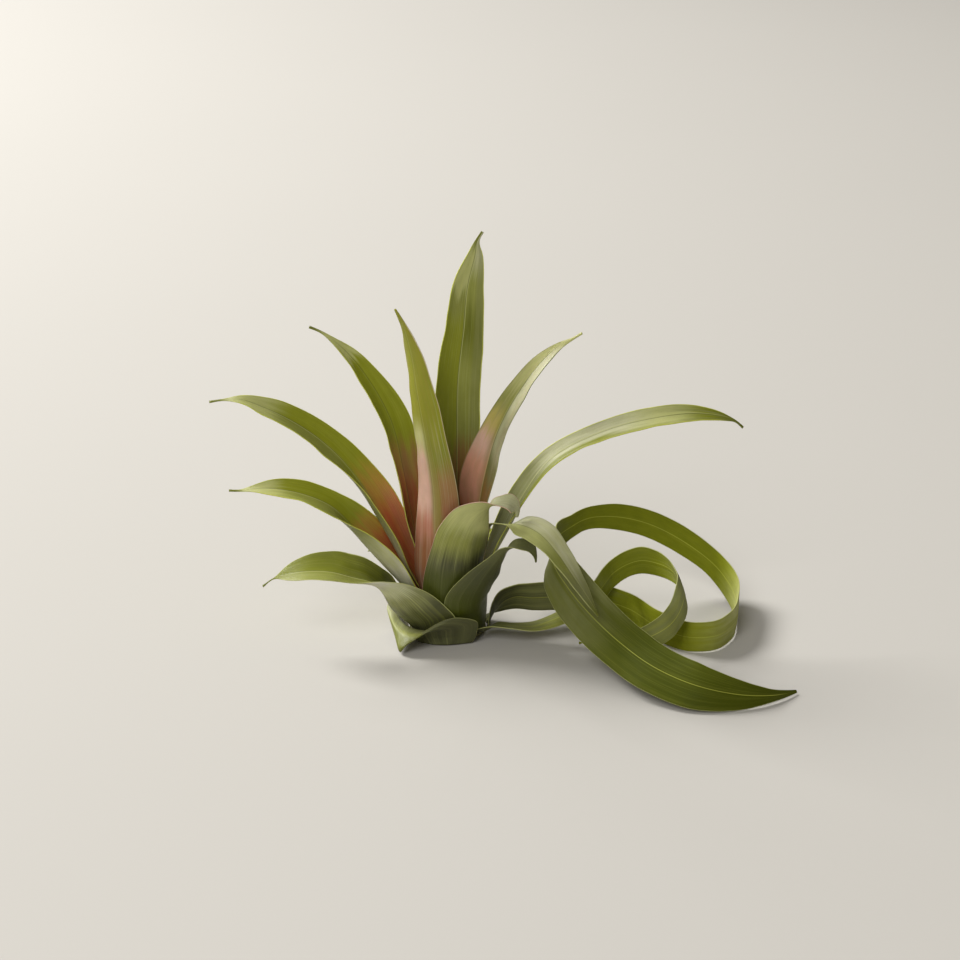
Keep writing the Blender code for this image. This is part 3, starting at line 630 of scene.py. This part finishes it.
class Nodes:
    """Short calls for building a material's nodes."""

    def __init__(self, name):
        self.material = bpy.data.materials.new(name)
        self.material.use_nodes = True
        self.tree = self.material.node_tree
        self.shader = self.tree.nodes["Principled BSDF"]

    def link(self, value, socket):
        if isinstance(value, bpy.types.NodeSocket):
            self.tree.links.new(value, socket)
        else:
            socket.default_value = value

    def node(self, kind):
        return self.tree.nodes.new(kind)

    def read(self, name):
        found = self.node("ShaderNodeAttribute")
        found.attribute_name = name
        return found.outputs["Fac"]

    def math(self, operation, a, b=0.0, c=0.0):
        made = self.node("ShaderNodeMath")
        made.operation = operation
        self.link(a, made.inputs[0])
        self.link(b, made.inputs[1])
        self.link(c, made.inputs[2])
        return made.outputs[0]

    def times(self, a, b):
        return self.math("MULTIPLY", a, b)

    def step(self, value, low, high, start=0.0, end=1.0):
        """Smooth step of the value from low to high."""
        made = self.node("ShaderNodeMapRange")
        made.interpolation_type = "SMOOTHSTEP"
        self.link(value, made.inputs["Value"])
        made.inputs["From Min"].default_value = low
        made.inputs["From Max"].default_value = high
        made.inputs["To Min"].default_value = start
        made.inputs["To Max"].default_value = end
        return made.outputs["Result"]

    def mix(self, amount, a, b):
        made = self.node("ShaderNodeMix")
        made.data_type = "RGBA"
        self.link(amount, made.inputs[0])
        self.link(a, made.inputs[6])
        self.link(b, made.inputs[7])
        return made.outputs[2]

    def ramp(self, value, stops):
        made = self.node("ShaderNodeValToRGB")
        made.color_ramp.interpolation = "EASE"
        while len(made.color_ramp.elements) < len(stops):
            made.color_ramp.elements.new(1.0)
        for element, (place, colour) in zip(made.color_ramp.elements, stops):
            element.position = place
            element.color = colour
        self.link(value, made.inputs["Fac"])
        return made.outputs["Color"]

    def vector(self, x, y, z):
        made = self.node("ShaderNodeCombineXYZ")
        for socket, value in zip(made.inputs, (x, y, z)):
            self.link(value, socket)
        return made.outputs[0]

    def noise(self, place, scale=1.0, detail=2.0, rough=0.5):
        made = self.node("ShaderNodeTexNoise")
        self.link(place, made.inputs["Vector"])
        made.inputs["Scale"].default_value = scale
        made.inputs["Detail"].default_value = detail
        made.inputs["Roughness"].default_value = rough
        return made.outputs["Fac"]

    def relief(self, height, strength, depth):
        """Fine relief of the surface, depth in metres."""
        bump = self.node("ShaderNodeBump")
        bump.inputs["Strength"].default_value = strength
        bump.inputs["Distance"].default_value = depth
        self.link(height, bump.inputs["Height"])
        self.link(bump.outputs["Normal"], self.shader.inputs["Normal"])


class LeafNodes(Nodes):
    """Nodes of one leaf's material, with the places on the leaf and its lengthwise grain."""

    def __init__(self, name, seed):
        super().__init__(name)
        self.seed = seed
        self.frac = self.read("frac")
        self.u = self.read("across")
        self.reach = self.read("reach")
        self.under = self.read("under")
        self.girth = self.read("girth")
        self.broad = self.grain(*BROAD_GRAIN)
        self.fine = self.grain(*FINE_GRAIN)
        # Midrib and margins fade out where the leaf is this narrow, in millimetres
        self.wide = self.step(self.girth, 2.0, 6.0)

    def grain(self, across, along, shift, detail=3.0):
        """Noise that is drawn out along the leaf."""
        place = self.vector(self.times(self.u, across), self.times(self.reach, along), self.seed + shift)
        return self.noise(place, detail=detail)

    def centred(self, value):
        return self.math("SUBTRACT", value, 0.5)


def ground_colour(n, look):
    """Colours along each half of both faces, with a ragged change from one to the next."""
    half = n.step(n.u, -look["soft"], look["soft"])
    drift = n.times(n.centred(n.broad), look["drift"])
    drift = n.math("MULTIPLY_ADD", n.centred(n.fine), look["drift"] * 0.5, drift)
    place = n.math("ADD", n.frac, drift)
    sides = []
    for stops in (look["upper"], look["under"]):
        first, second = stops if isinstance(stops, tuple) else (stops, stops)
        sides.append(n.mix(half, n.ramp(place, first), n.ramp(place, second)))
    return n.mix(n.under, sides[0], sides[1])


def wash_amount(n, low, high, start, end, amount):
    """How much a wash covers: between two places across the leaf and two along it, with soft sides."""
    side_blur, end_blur = 0.12, 0.04
    shares = (
        n.step(n.u, high - side_blur, high + side_blur, 1.0, 0.0),
        n.step(n.frac, start - end_blur, start + end_blur),
        n.step(n.frac, end - end_blur, end + end_blur, 1.0, 0.0),
        n.step(n.broad, 0.25, 0.6, 0.4 * amount, amount),
    )
    cover = n.step(n.u, low - side_blur, low + side_blur)
    for share in shares:
        cover = n.times(cover, share)
    return cover


def streaked_colour(n, look, colour):
    """Lengthwise streaks and lines, then the washes, then a faint mottling."""
    colour = n.mix(n.step(n.broad, 0.35, 0.75, 0.0, look["streak"]), colour, look["streak_colour"])
    colour = n.mix(n.step(n.fine, 0.50, 0.68, 0.0, look["line"]), colour, look["line_colour"])
    for *extent, wash in look["washes"]:
        colour = n.mix(wash_amount(n, *extent), colour, wash)
    mottle = n.grain(*MOTTLING, detail=4.0)
    return n.mix(n.step(mottle, 0.3, 0.8, 0.0, 0.2), colour, look["dark_colour"])


def vein_lines(n, look):
    """Fine lengthwise veins that wander a little and fade in places."""
    wandering, sharpness = 2.2, 6.0
    drift = n.times(n.centred(n.fine), wandering)
    phase = n.math("MULTIPLY_ADD", n.u, look["veins"] * math.pi, drift)
    vein = n.math("POWER", n.math("ABSOLUTE", n.math("SINE", phase)), sharpness)
    return n.times(vein, n.step(n.broad, 0.3, 0.65, 0.35, 1.0))


def midrib_colour(n, look, colour):
    """The line of the midrib, with a pale gleam beside it that is a painted highlight. Distances are in
    millimetres.
    """
    rib_core, gleam_core, gleam_side = 0.08, 0.12, 0.34
    from_rib = n.times(n.u, n.times(n.girth, 0.5))
    from_gleam = n.math("ABSOLUTE", n.math("ADD", from_rib, look["gleam_offset"]))
    gleam = n.times(n.step(from_gleam, gleam_core, gleam_side, 1.0, 0.0), n.wide)
    colour = n.mix(n.times(gleam, look["gleam"]), colour, look["gleam_colour"])
    rib = n.step(n.math("ABSOLUTE", from_rib), rib_core, look["rib_width"], 1.0, 0.0)
    rib = n.times(rib, n.wide)
    return n.mix(n.times(rib, look["rib"]), colour, look["rib_colour"])


def margin_colour(n, look, colour):
    """The thin pale margin, with a strip of painted shade beside it. Distances are in millimetres."""
    shade_from, shade_to = 0.2, 0.8
    inset = n.times(n.math("SUBTRACT", 1.0, n.math("ABSOLUTE", n.u)), n.times(n.girth, 0.5))
    shade = n.times(n.step(inset, shade_from, shade_to, 1.0, 0.0), n.wide)
    colour = n.mix(n.times(shade, look["shade"]), colour, look["dark_colour"])
    edge = n.times(n.step(inset, look["edge"] * 0.5, look["edge"], 1.0, 0.0), n.wide)
    return n.mix(n.times(edge, look["edge_amount"]), colour, look["edge_colour"])


def waxy_surface(n, look, vein):
    """Roughness, gloss, fine relief and a little light under the skin."""
    smoother, rougher, vein_height, grain_height = 0.06, 0.08, -0.5, 0.8
    dapple = n.grain(*DAPPLES)
    roughness = n.step(dapple, 0.2, 0.8, look["rough"] - smoother, look["rough"] + rougher)
    n.link(roughness, n.shader.inputs["Roughness"])
    height = n.math("ADD", n.times(vein, vein_height), n.times(n.fine, grain_height))
    n.relief(height, strength=0.35, depth=0.00025)
    n.shader.inputs["Specular IOR Level"].default_value = look["gloss"]
    n.shader.inputs["Subsurface Weight"].default_value = 0.12
    n.shader.inputs["Subsurface Radius"].default_value = (0.6, 0.8, 0.2)
    n.shader.inputs["Subsurface Scale"].default_value = 0.0008


def leaf_material(name, look, seed):
    """Waxy leaf: colours along it, streaks, fine veins, midrib and thin pale margins."""
    n = LeafNodes(name, seed)
    colour = streaked_colour(n, look, ground_colour(n, look))
    vein = vein_lines(n, look)
    colour = n.mix(n.times(vein, look["vein"]), colour, look["vein_colour"])
    colour = midrib_colour(n, look, colour)
    colour = margin_colour(n, look, colour)
    n.link(colour, n.shader.inputs["Base Color"])
    waxy_surface(n, look, vein)
    return n.material


# What the looks of the leaves have in common. "upper" and "under" are a face's colours from seat to
# tip, or a pair of such lists for its two halves. "soft" is the change between the halves, and "drift"
# is how ragged the changes along the leaf are. A wash is a patch of colour: from and to across the leaf,
# from and to along it, its strength and its colour; some washes are painted sheen, light or shade, as
# said at each leaf. "veins" counts those in half a leaf's width. "gleam" is a painted highlight beside
# the midrib, and "shade" a strip of painted shade inside the margins. "streak", "line", "vein", "rib",
# "gleam", "shade" and "edge_amount" are strengths. "rib_width", "gleam_offset" and "edge" are in
# millimetres.
PLAIN_LOOK = {
    "soft": 0.04,
    "upper": [(0.0, RUST), (0.35, ORANGE), (0.5, VIVID), (0.8, MID), (1.0, OLIVE)],
    "under": [(0.0, ROSE), (0.4, PALE), (1.0, GREY)],
    "drift": 0.10,
    "washes": [],
    "streak": 0.16,
    "streak_colour": LEMON,
    "line": 0.16,
    "line_colour": LEMON,
    "dark_colour": OLIVE,
    "veins": 21,
    "vein": 0.2,
    "vein_colour": OLIVE,
    "rib": 0.55,
    "rib_width": 0.3,
    "rib_colour": DARK,
    "gleam": 0.5,
    "gleam_offset": 0.4,
    "gleam_colour": SAGE,
    "shade": 0.2,
    "edge": 0.34,
    "edge_amount": 0.85,
    "edge_colour": LEMON,
    "rough": 0.44,
    "gloss": 0.32,
}

# Runs of colour that are used more than once, with their places along the leaf
TIP = [(0.86, SAGE), (0.94, SAGE), (0.98, OLIVE)]
# On the far-left and left leaves, FAN_BASE's FERN stretch is paler than the VIVID of their other half: a
# painted sheen.
FAN_BASE = [(0.0, WINE), (0.26, WINE), (0.34, RUST), (0.42, TAN), (0.50, MID), (0.60, FERN), (0.76, FERN)]
LOOP = [(0.0, SLATE), (0.1, GREY), (0.2, FERN), (0.34, MID), (0.5, MID), (0.65, GREY), (1.0, MID)]
RIBBON = [
    *[(0.0, SLATE), (0.1, GREY), (0.15, MID), (0.26, VIVID), (0.46, MID)],
    *[(0.56, MID), (0.66, OLIVE), (0.8, DARK), (1.0, DARK)],
]

# What the looks of the three front bracts have in common, and those of the two leaves that trail in loops
BRACT_LOOK = {
    "dark_colour": SLATE,
    "vein_colour": SLATE,
    "edge_colour": SAGE,
    "edge_amount": 0.6,
    "edge": 0.24,
    "rib": 0.1,
    "gleam": 0.0,
}
TRAILING_LOOK = {
    "rib": 0.5,
    "rib_width": 0.22,
    "rib_colour": LEMON,
    "gleam": 0.0,
    "dark_colour": DARK,
    "vein_colour": DARK,
    "edge": 0.26,
    "edge_amount": 0.6,
    "edge_colour": SAGE,
}

# What is particular to the look of each leaf that the photo shows
LOOKS = {
    "leaf_far_left": {
        "upper": (
            FAN_BASE + TIP,
            [(0.0, WINE), (0.22, RUST), (0.34, RUST), (0.43, ORANGE), (0.56, VIVID), (0.76, VIVID)] + TIP,
        ),
        "under": [(0.0, SLATE), (0.14, GREY), (0.24, PALE), (0.4, GREY), (0.8, PALE), (1.0, GREY)],
        "washes": [(0.6, 2.0, 0.0, 0.42, 0.5, ROSE)],
    },
    "leaf_left": {
        "upper": (
            FAN_BASE + TIP,
            [(0.0, WINE), (0.24, RUST), (0.34, RUST), (0.44, ORANGE), (0.53, VIVID), (0.78, VIVID)] + TIP,
        ),
        "under": [
            *[(0.0, SLATE), (0.16, GREY), (0.24, CHALK), (0.34, PALE)],
            *[(0.5, GREY), (0.8, PALE), (1.0, GREY)],
        ],
    },
    "leaf_low_left": {
        "upper": (
            [
                *[(0.0, OLIVE), (0.3, OLIVE), (0.45, FERN), (0.6, FERN)],
                *[(0.8, FERN), (0.9, FERN), (1.0, OLIVE)],
            ],
            [(0.0, OLIVE), (0.25, OLIVE), (0.45, OLIVE), (0.6, MID), (0.9, MID), (1.0, OLIVE)],
        ),
        "under": [
            *[(0.0, SLATE), (0.18, SLATE), (0.26, GREY), (0.34, PALE)],
            *[(0.42, CHALK), (0.6, GREY), (1.0, GREY)],
        ],
        "streak_colour": SAGE,
        "vein": 0.45,
        "vein_colour": SLATE,
        "edge_colour": SAGE,
        "edge": 0.26,
    },
    "leaf_upper_left": {
        "upper": (
            [(0.0, WINE), (0.38, WINE), (0.44, RUST), (0.52, ORANGE), (0.61, VIVID), (0.82, VIVID)] + TIP,
            [(0.0, UMBER), (0.38, WINE), (0.49, TAN), (0.59, VIVID), (0.82, VIVID)] + TIP,
        ),
        "under": [(0.0, ROSE), (0.6, PALE), (1.0, GREY)],
        "gleam": 0.2,
    },
    "leaf_centre_left": {
        "upper": [(0.0, RUST), (0.5, VIVID), (1.0, MID)],
        "under": (
            [
                *[(0.0, UMBER), (0.28, SIENNA), (0.38, SIENNA), (0.46, TAN)],
                *[(0.56, MID), (0.62, VIVID), (1.0, MID)],
            ],
            [
                *[(0.0, UMBER), (0.26, SIENNA), (0.34, ROSE), (0.42, PINK)],
                *[(0.54, PINK), (0.62, SAGE), (0.7, VIVID), (1.0, MID)],
            ],
        ),
        "soft": 0.3,
        "streak": 0.08,
        "streak_colour": CHALK,
        "line_colour": CHALK,
        "line": 0.25,
        "washes": [(-0.35, 0.05, 0.32, 0.75, 0.65, MID), (-2.0, 2.0, 0.66, 2.0, 1.0, VIVID)],
        "rib": 0.2,
        "gleam": 0.2,
        "vein": 0.3,
        "vein_colour": ROSE,
        "edge_colour": SAND,
    },
    "leaf_tall": {
        # The first half is painted lighter and the second half darker, as light falls on one side: painted
        # light and shade.
        "upper": (
            [(0.0, UMBER), (0.34, SIENNA), (0.41, TAN), (0.48, VIVID), (0.74, VIVID), (0.82, FERN)] + TIP,
            [
                *[(0.0, UMBER), (0.34, SIENNA), (0.42, TAN), (0.5, FERN)],
                *[(0.64, FERN), (0.74, OLIVE), (0.86, FERN), (0.96, PALE)],
            ],
        ),
        "under": [(0.0, ROSE), (0.5, PALE), (1.0, GREY)],
        # The GREY wash on the second half is painted shade, and the VIVID wash on the first half is painted
        # light.
        "washes": [(0.55, 2.0, 0.46, 2.0, 0.5, GREY), (-2.0, -0.1, 0.42, 0.66, 0.9, VIVID)],
        "line_colour": SAGE,
        "line": 0.25,
        "gleam": 0.7,
        "gleam_offset": -0.3,
    },
    "leaf_upper_right": {
        "upper": (
            [
                *[(0.0, WINE), (0.32, RUST), (0.4, CORAL), (0.48, CORAL), (0.56, PINK)],
                *[(0.63, GOLD), (0.7, FERN), (0.78, SAGE), (0.9, SAGE)],
            ],
            # The PALE stretch of this second half is a painted sheen, on the half that faces the light.
            [
                *[(0.0, WINE), (0.42, TAN), (0.49, GREY), (0.57, PALE)],
                *[(0.68, PALE), (0.88, PALE), (0.95, SAGE)],
            ],
        ),
        "under": [(0.0, ROSE), (0.5, PALE), (1.0, GREY)],
        "washes": [(-0.2, 0.1, 0.3, 0.8, 0.4, OLIVE)],
        "line_colour": GOLD,
        "line": 0.24,
        "streak_colour": PINK,
        "vein": 0.28,
        "edge_colour": GREY,
        "edge_amount": 0.5,
    },
    "leaf_far_right": {
        # The PALE stretch in the middle of the upper face is a painted sheen.
        "upper": [
            *[(0.0, UMBER), (0.25, SLATE), (0.42, GREY), (0.52, PALE)],
            *[(0.66, PALE), (0.8, SAGE), (0.9, MID), (0.98, OLIVE)],
        ],
        "line_colour": GREY,
        "streak_colour": CHALK,
        "washes": [(0.4, 2.0, 0.15, 0.66, 1.0, MID), (0.7, 2.0, 0.6, 0.8, 0.6, VIVID)],
        "vein": 0.34,
        "gloss": 0.16,
    },
    "bract_front": {
        **BRACT_LOOK,
        "upper": [(0.0, GREY), (0.5, GREY), (0.8, PALE), (1.0, PALE)],
        # The DARK at the seat of the under face and the DARK wash over the lower part are partly the
        # bract's own dark colour and partly painted shade at the crowded base.
        "under": [
            *[(0.0, DARK), (0.26, DARK), (0.4, SLATE), (0.54, FERN)],
            *[(0.68, SAGE), (0.85, SAGE), (1.0, PALE)],
        ],
        "washes": [(-2.0, 2.0, -1.0, 0.38, 0.85, DARK), (-2.0, -0.3, 0.2, 0.62, 0.5, SLATE)],
        "line_colour": SAGE,
        "line": 0.24,
        "streak_colour": SAGE,
        "streak": 0.25,
        "vein": 0.35,
        "edge_colour": PINK,
        "edge_amount": 0.85,
        "edge": 0.26,
    },
    "bract_front_right": {
        **BRACT_LOOK,
        "upper": [(0.0, SLATE), (0.5, GREY), (1.0, GREY)],
        "under": [(0.0, DARK), (0.2, DARK), (0.5, SLATE), (0.78, GREY), (1.0, GREY)],
        "line": 0.2,
        "line_colour": GREY,
        "streak_colour": GREY,
        "dark_colour": DARK,
        "vein_colour": DARK,
        "vein": 0.4,
    },
    "bract_foot": {
        **BRACT_LOOK,
        "upper": [(0.0, GREY), (0.5, GREY), (0.62, FERN), (0.72, OLIVE), (1.0, OLIVE)],
        "streak_colour": SAGE,
        "line_colour": SAGE,
        # The SLATE outer face is partly the bract's own colour and partly painted shade where it tilts down
        # to the floor.
        "under": [(0.0, SLATE), (0.5, SLATE), (0.8, GREY), (1.0, OLIVE)],
        # The PALE wash is partly the bract's own pale colour and partly painted light on the lobe that
        # faces the light.
        "washes": [(0.7, 2.0, -1.0, 0.62, 0.6, PALE)],
    },
    "leaf_trailing_short": {
        "upper": (
            [(0.0, SLATE), (0.36, SAGE), (0.6, CHALK), (0.76, PALE), (0.9, GREY), (1.0, OLIVE)],
            [(0.0, SLATE), (0.36, SAGE), (0.6, SAGE), (0.78, FERN), (0.9, GREY), (1.0, OLIVE)],
        ),
        "under": [(0.0, SLATE), (0.5, GREY), (1.0, GREY)],
        "washes": [(-2.0, 2.0, 0.5, 0.72, 0.4, SAGE)],
        "streak_colour": SAGE,
        "edge_colour": SAGE,
        "edge_amount": 0.5,
    },
    "leaf_long_ribbon": {
        **TRAILING_LOOK,
        "upper": RIBBON,
        "under": RIBBON,
        # The SAGE wash over the far right end of the loop is a painted sheen.
        "washes": [(-2.0, 2.0, 0.27, 0.38, 0.9, SAGE), (-2.0, 2.0, 0.64, 0.77, 0.8, GREY)],
        "streak": 0.06,
        "line": 0.08,
        "gloss": 0.08,
        "rough": 0.56,
    },
    "leaf_small_loop": {
        **TRAILING_LOOK,
        "upper": LOOP,
        "under": LOOP,
        "streak": 0.1,
        "line": 0.1,
        "gloss": 0.16,
    },
}

# Each leaf's name, stations, rings along it and points across it
LEAVES = [
    ("leaf_far_left", LEAF_FAR_LEFT, 130, 33),
    ("leaf_left", LEAF_LEFT, 120, 33),
    ("leaf_low_left", LEAF_LOW_LEFT, 120, 37),
    ("leaf_upper_left", LEAF_UPPER_LEFT, 130, 25),
    ("leaf_centre_left", LEAF_CENTRE_LEFT, 120, 25),
    ("leaf_tall", LEAF_TALL, 130, 25),
    ("leaf_upper_right", LEAF_UPPER_RIGHT, 130, 25),
    ("leaf_far_right", LEAF_FAR_RIGHT, 140, 25),
    ("bract_front", BRACT_FRONT, 110, 33),
    ("bract_front_right", BRACT_FRONT_RIGHT, 100, 33),
    ("bract_foot", BRACT_FOOT, 80, 37),
    ("leaf_trailing_short", LEAF_TRAILING_SHORT, 130, 21),
    ("leaf_long_ribbon", LEAF_LONG_RIBBON, 320, 21),
    ("leaf_small_loop", LEAF_SMALL_LOOP, 220, 21),
    ("leaf_back_right", LEAF_BACK_RIGHT, 90, 21),
    ("leaf_back_tall", LEAF_BACK_TALL, 110, 21),
    ("leaf_back_left", LEAF_BACK_LEFT, 100, 21),
    ("bract_back", BRACT_BACK, 80, 21),
]


def bark_material():
    """Dry stem: olive brown, ringed and flaky."""
    n = Nodes("stem_bark")
    place = n.node("ShaderNodeTexCoord").outputs["Object"]
    stretch = n.node("ShaderNodeMapping")
    n.link(place, stretch.inputs["Vector"])
    stretch.inputs["Scale"].default_value = FLAKES_PER_METRE
    flakes = n.noise(stretch.outputs["Vector"], detail=5.0, rough=0.65)
    grain = n.noise(place, scale=900.0, detail=4.0)
    colour = n.mix(n.step(flakes, 0.35, 0.65), BARK_DARK, BARK)
    colour = n.mix(n.step(grain, 0.5, 0.8, 0.0, 0.2), colour, SAND)
    n.link(colour, n.shader.inputs["Base Color"])
    n.shader.inputs["Roughness"].default_value = 0.85
    n.relief(flakes, strength=0.7, depth=0.0006)
    return n.material


def floor_material():
    """Matt studio floor with a faint cloudiness."""
    n = Nodes("studio_floor")
    place = n.node("ShaderNodeTexCoord").outputs["Object"]
    cloud = n.noise(place, scale=1.3, detail=2.0)
    colour = n.mix(cloud, FLOOR_LIGHT, FLOOR_DARK)
    n.link(colour, n.shader.inputs["Base Color"])
    n.shader.inputs["Roughness"].default_value = 0.9
    return n.material


def make_floor():
    mesh = bpy.data.meshes.new("studio_floor")
    h = FLOOR_HALF
    mesh.from_pydata([(-h, -h, 0), (h, -h, 0), (h, h, 0), (-h, h, 0)], [], [(0, 1, 2, 3)])
    mesh.materials.append(floor_material())
    floor = bpy.data.objects.new("studio_floor", mesh)
    bpy.context.scene.collection.objects.link(floor)


def make_camera():
    data = bpy.data.cameras.new("camera")
    data.lens = CAMERA_LENS
    data.sensor_width = 36.0
    data.clip_start = 0.01
    data.clip_end = 60.0
    camera = bpy.data.objects.new("camera", data)
    bpy.context.scene.collection.objects.link(camera)
    back = Vector((0, -math.cos(CAMERA_RISE), math.sin(CAMERA_RISE)))
    camera.location = CAMERA_TARGET + back * CAMERA_DISTANCE
    camera.rotation_euler = (CAMERA_TARGET - camera.location).to_track_quat("-Z", "Y").to_euler()
    bpy.context.scene.camera = camera


def make_light(name, place, size, power, colour, aim=LIGHT_AIM):
    """Round area light, placed in metres, that shines towards its aim."""
    data = bpy.data.lights.new(name, "AREA")
    data.shape = "DISK"
    data.size = size
    data.energy = power
    data.color = colour
    light = bpy.data.objects.new(name, data)
    bpy.context.scene.collection.objects.link(light)
    light.location = place
    light.rotation_euler = (Vector(aim) - light.location).to_track_quat("-Z", "Y").to_euler()


def make_lighting():
    backdrop_aim = (-0.8, 2.2, 0.0)
    make_light("key", place=(-2.1, 1.4, 2.2), size=1.5, power=145.0, colour=(1.0, 0.99, 0.97))
    make_light("fill", place=(-0.8, -2.2, 1.9), size=1.6, power=38.0, colour=(1.0, 0.99, 0.98))
    make_light("backdrop", (-1.4, 2.6, 1.6), 1.0, 13.0, (0.99, 0.99, 1.0), aim=backdrop_aim)
    world = bpy.data.worlds.new("studio")
    world.use_nodes = True
    backdrop = world.node_tree.nodes["Background"]
    backdrop.inputs["Color"].default_value = DAYLIGHT
    backdrop.inputs["Strength"].default_value = 0.24
    bpy.context.scene.world = world
    bpy.context.scene.view_settings.view_transform = "Standard"


def main():
    """Dress the leaves and the stem."""
    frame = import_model()
    make_camera()
    make_lighting()
    make_floor()
    for seed, (name, stations, rings, across) in enumerate(LEAVES):
        piece = make_leaf(name, stations, rings, across, seed)
        look = {**PLAIN_LOOK, **LOOKS.get(name, {})}
        piece.data.materials.append(leaf_material(name + "_surface", look, seed * SEED_STEP))
        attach(piece, "root")
        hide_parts(name)
    stem = frame["nodes"]["stem_base"]
    bark = bark_material()
    for slot in stem.material_slots:
        slot.material = bark


main()
